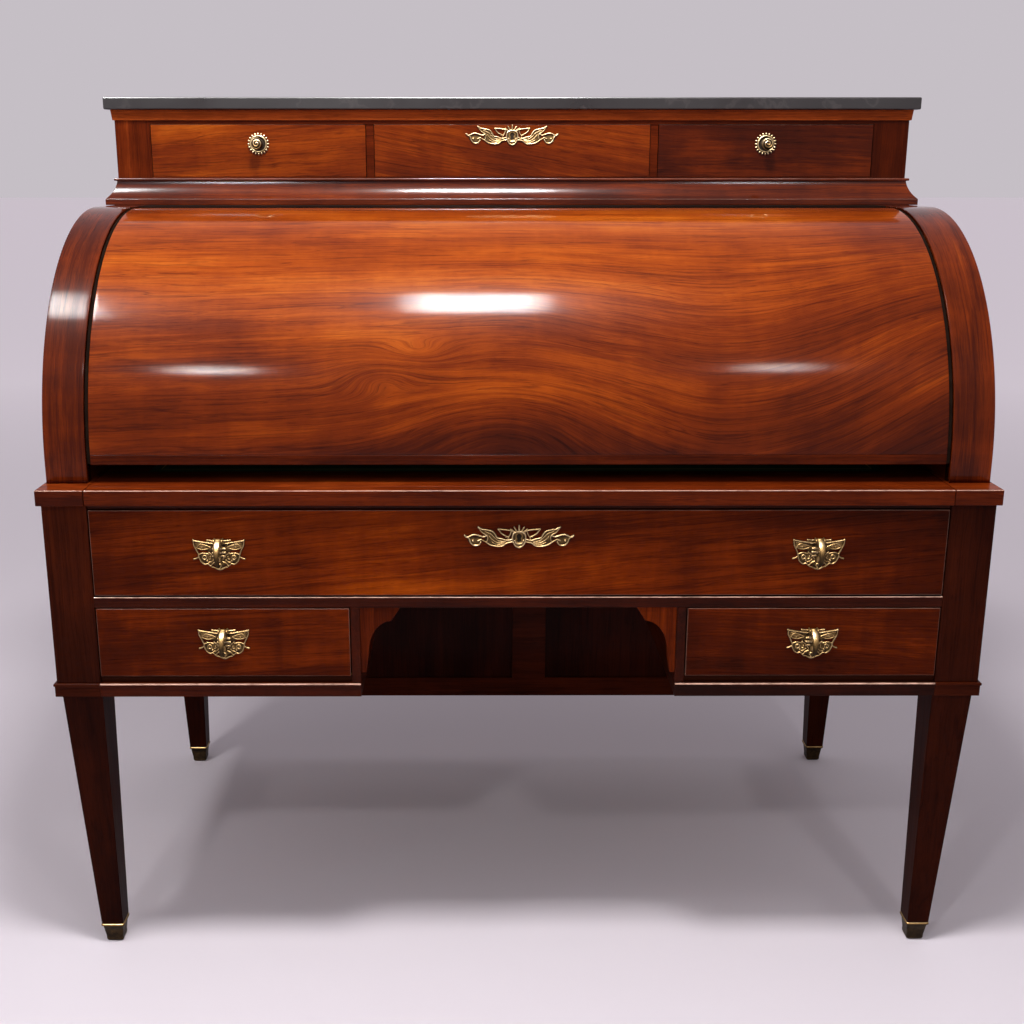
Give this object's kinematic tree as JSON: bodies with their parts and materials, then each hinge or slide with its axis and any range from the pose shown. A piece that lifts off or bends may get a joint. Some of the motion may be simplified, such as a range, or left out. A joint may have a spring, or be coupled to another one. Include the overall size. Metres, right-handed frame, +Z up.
{
  "type": "roll top desk",
  "caption": "Free-standing cylinder desk on tapered legs: a curved fall turns back over a pull-out writing slide, with drawers below and in a marble-topped gradin above.",
  "frame": {"origin": "on the floor under the middle of the whole desk", "axes": "+Z up, -Y the front, +X to the right of someone who looks at the front"},
  "size_m": [1.41, 0.7705, 1.3211],
  "materials": {
    "figured_mahogany": "french polished, strong flame figure",
    "mahogany": "french polished",
    "dark_mahogany": "french polished, dark",
    "black_wood": "ebonised, matt",
    "oak": "raw, waxed",
    "gilt_brass": "cast, chased, aged in the hollows",
    "iron": "blackened",
    "lock_steel": "worn",
    "green_leather": "waxed, worn",
    "black_marble": "polished, faint pale veins"
  },
  "bodies": {
    "case": {"front_left_leg": "dark_mahogany", "front_right_leg": "dark_mahogany", "rear_left_leg": "dark_mahogany", "rear_right_leg": "dark_mahogany", "sabots": "gilt_brass", "leg_collars": "dark_mahogany", "side_panels": "mahogany", "bottom_rails": "mahogany", "pedestal_floors": "oak", "kneehole_sides": "mahogany", "kneehole_brackets": "figured_mahogany", "front_rails": "mahogany", "dust_boards": "oak", "back_frame": "dark_mahogany", "back_panels": "dark_mahogany", "ledge_frame": "mahogany", "quadrant_band_left": "figured_mahogany", "quadrant_band_right": "figured_mahogany", "quadrant_walls": "mahogany", "pivot_bushes": "gilt_brass", "cylinder_top_rail": "black_wood", "gradin_carcass": "mahogany", "base_moulding": "mahogany", "cornice": "mahogany", "marble_top": "black_marble", "interior_nest": "mahogany"},
    "fall": {"cylinder_panel": "figured_mahogany", "cylinder_lip": "mahogany", "cylinder_arm_left": "iron", "cylinder_arm_right": "iron"},
    "writing_slide": {"slide_board": "mahogany", "slide_edge": "mahogany", "slide_leather": "green_leather"},
    "long_drawer": {"long_drawer_front": "figured_mahogany", "long_drawer_box": "oak", "long_drawer_plates": "gilt_brass", "long_drawer_escutcheon": "gilt_brass", "long_drawer_lock": "lock_steel"},
    "long_left_loop": {"long_pull_left": "gilt_brass"},
    "long_right_loop": {"long_pull_right": "gilt_brass"},
    "short_left_drawer": {"short_left_front": "figured_mahogany", "short_left_box": "oak", "short_left_plate": "gilt_brass"},
    "short_left_loop": {"short_left_pull": "gilt_brass"},
    "short_right_drawer": {"short_right_front": "figured_mahogany", "short_right_box": "oak", "short_right_plate": "gilt_brass"},
    "short_right_loop": {"short_right_pull": "gilt_brass"},
    "gradin_left_drawer": {"gradin_left_front": "figured_mahogany", "gradin_left_box": "oak", "gradin_left_knob": "gilt_brass"},
    "gradin_middle_drawer": {"gradin_middle_front": "figured_mahogany", "gradin_middle_box": "oak", "gradin_middle_escutcheon": "gilt_brass", "gradin_middle_lock": "lock_steel"},
    "gradin_right_drawer": {"gradin_right_front": "figured_mahogany", "gradin_right_box": "oak", "gradin_right_knob": "gilt_brass"},
    "left_nest_drawer": {"nest_drawer_left": "mahogany"},
    "right_nest_drawer": {"nest_drawer_right": "mahogany"}
  },
  "joints": [
    {"name": "fall_turn", "type": "hinge", "parent": "case", "child": "fall", "pos_m": [0, 0.02825, 0.7873], "axis": [-1, 0, 0], "range_deg": [-4.1, 58]},
    {"name": "slide_pull", "type": "slide", "parent": "case", "child": "writing_slide", "axis": [0, -1, 0], "range_m": [0, 0.3]},
    {"name": "long_drawer_pull", "type": "slide", "parent": "case", "child": "long_drawer", "axis": [0, -1, 0], "range_m": [0, 0.45]},
    {"name": "short_left_drawer_pull", "type": "slide", "parent": "case", "child": "short_left_drawer", "axis": [0, -1, 0], "range_m": [0, 0.45]},
    {"name": "short_right_drawer_pull", "type": "slide", "parent": "case", "child": "short_right_drawer", "axis": [0, -1, 0], "range_m": [0, 0.45]},
    {"name": "gradin_left_drawer_pull", "type": "slide", "parent": "case", "child": "gradin_left_drawer", "axis": [0, -1, 0], "range_m": [0, 0.14]},
    {"name": "gradin_middle_drawer_pull", "type": "slide", "parent": "case", "child": "gradin_middle_drawer", "axis": [0, -1, 0], "range_m": [0, 0.14]},
    {"name": "gradin_right_drawer_pull", "type": "slide", "parent": "case", "child": "gradin_right_drawer", "axis": [0, -1, 0], "range_m": [0, 0.14]},
    {"name": "left_nest_drawer_pull", "type": "slide", "parent": "case", "child": "left_nest_drawer", "axis": [0, -1, 0], "range_m": [0, 0.15]},
    {"name": "right_nest_drawer_pull", "type": "slide", "parent": "case", "child": "right_nest_drawer", "axis": [0, -1, 0], "range_m": [0, 0.15]},
    {"name": "long_left_loop_swing", "type": "hinge", "parent": "long_drawer", "child": "long_left_loop", "pos_m": [-0.4365, -0.36625, 0.681], "axis": [-1, 0, 0], "range_deg": [0, 80]},
    {"name": "long_right_loop_swing", "type": "hinge", "parent": "long_drawer", "child": "long_right_loop", "pos_m": [0.4365, -0.36625, 0.681], "axis": [-1, 0, 0], "range_deg": [0, 80]},
    {"name": "short_left_loop_swing", "type": "hinge", "parent": "short_left_drawer", "child": "short_left_loop", "pos_m": [-0.4365, -0.36625, 0.5425], "axis": [-1, 0, 0], "range_deg": [0, 80]},
    {"name": "short_right_loop_swing", "type": "hinge", "parent": "short_right_drawer", "child": "short_right_loop", "pos_m": [0.4365, -0.36625, 0.5425], "axis": [-1, 0, 0], "range_deg": [0, 80]}
  ]
}
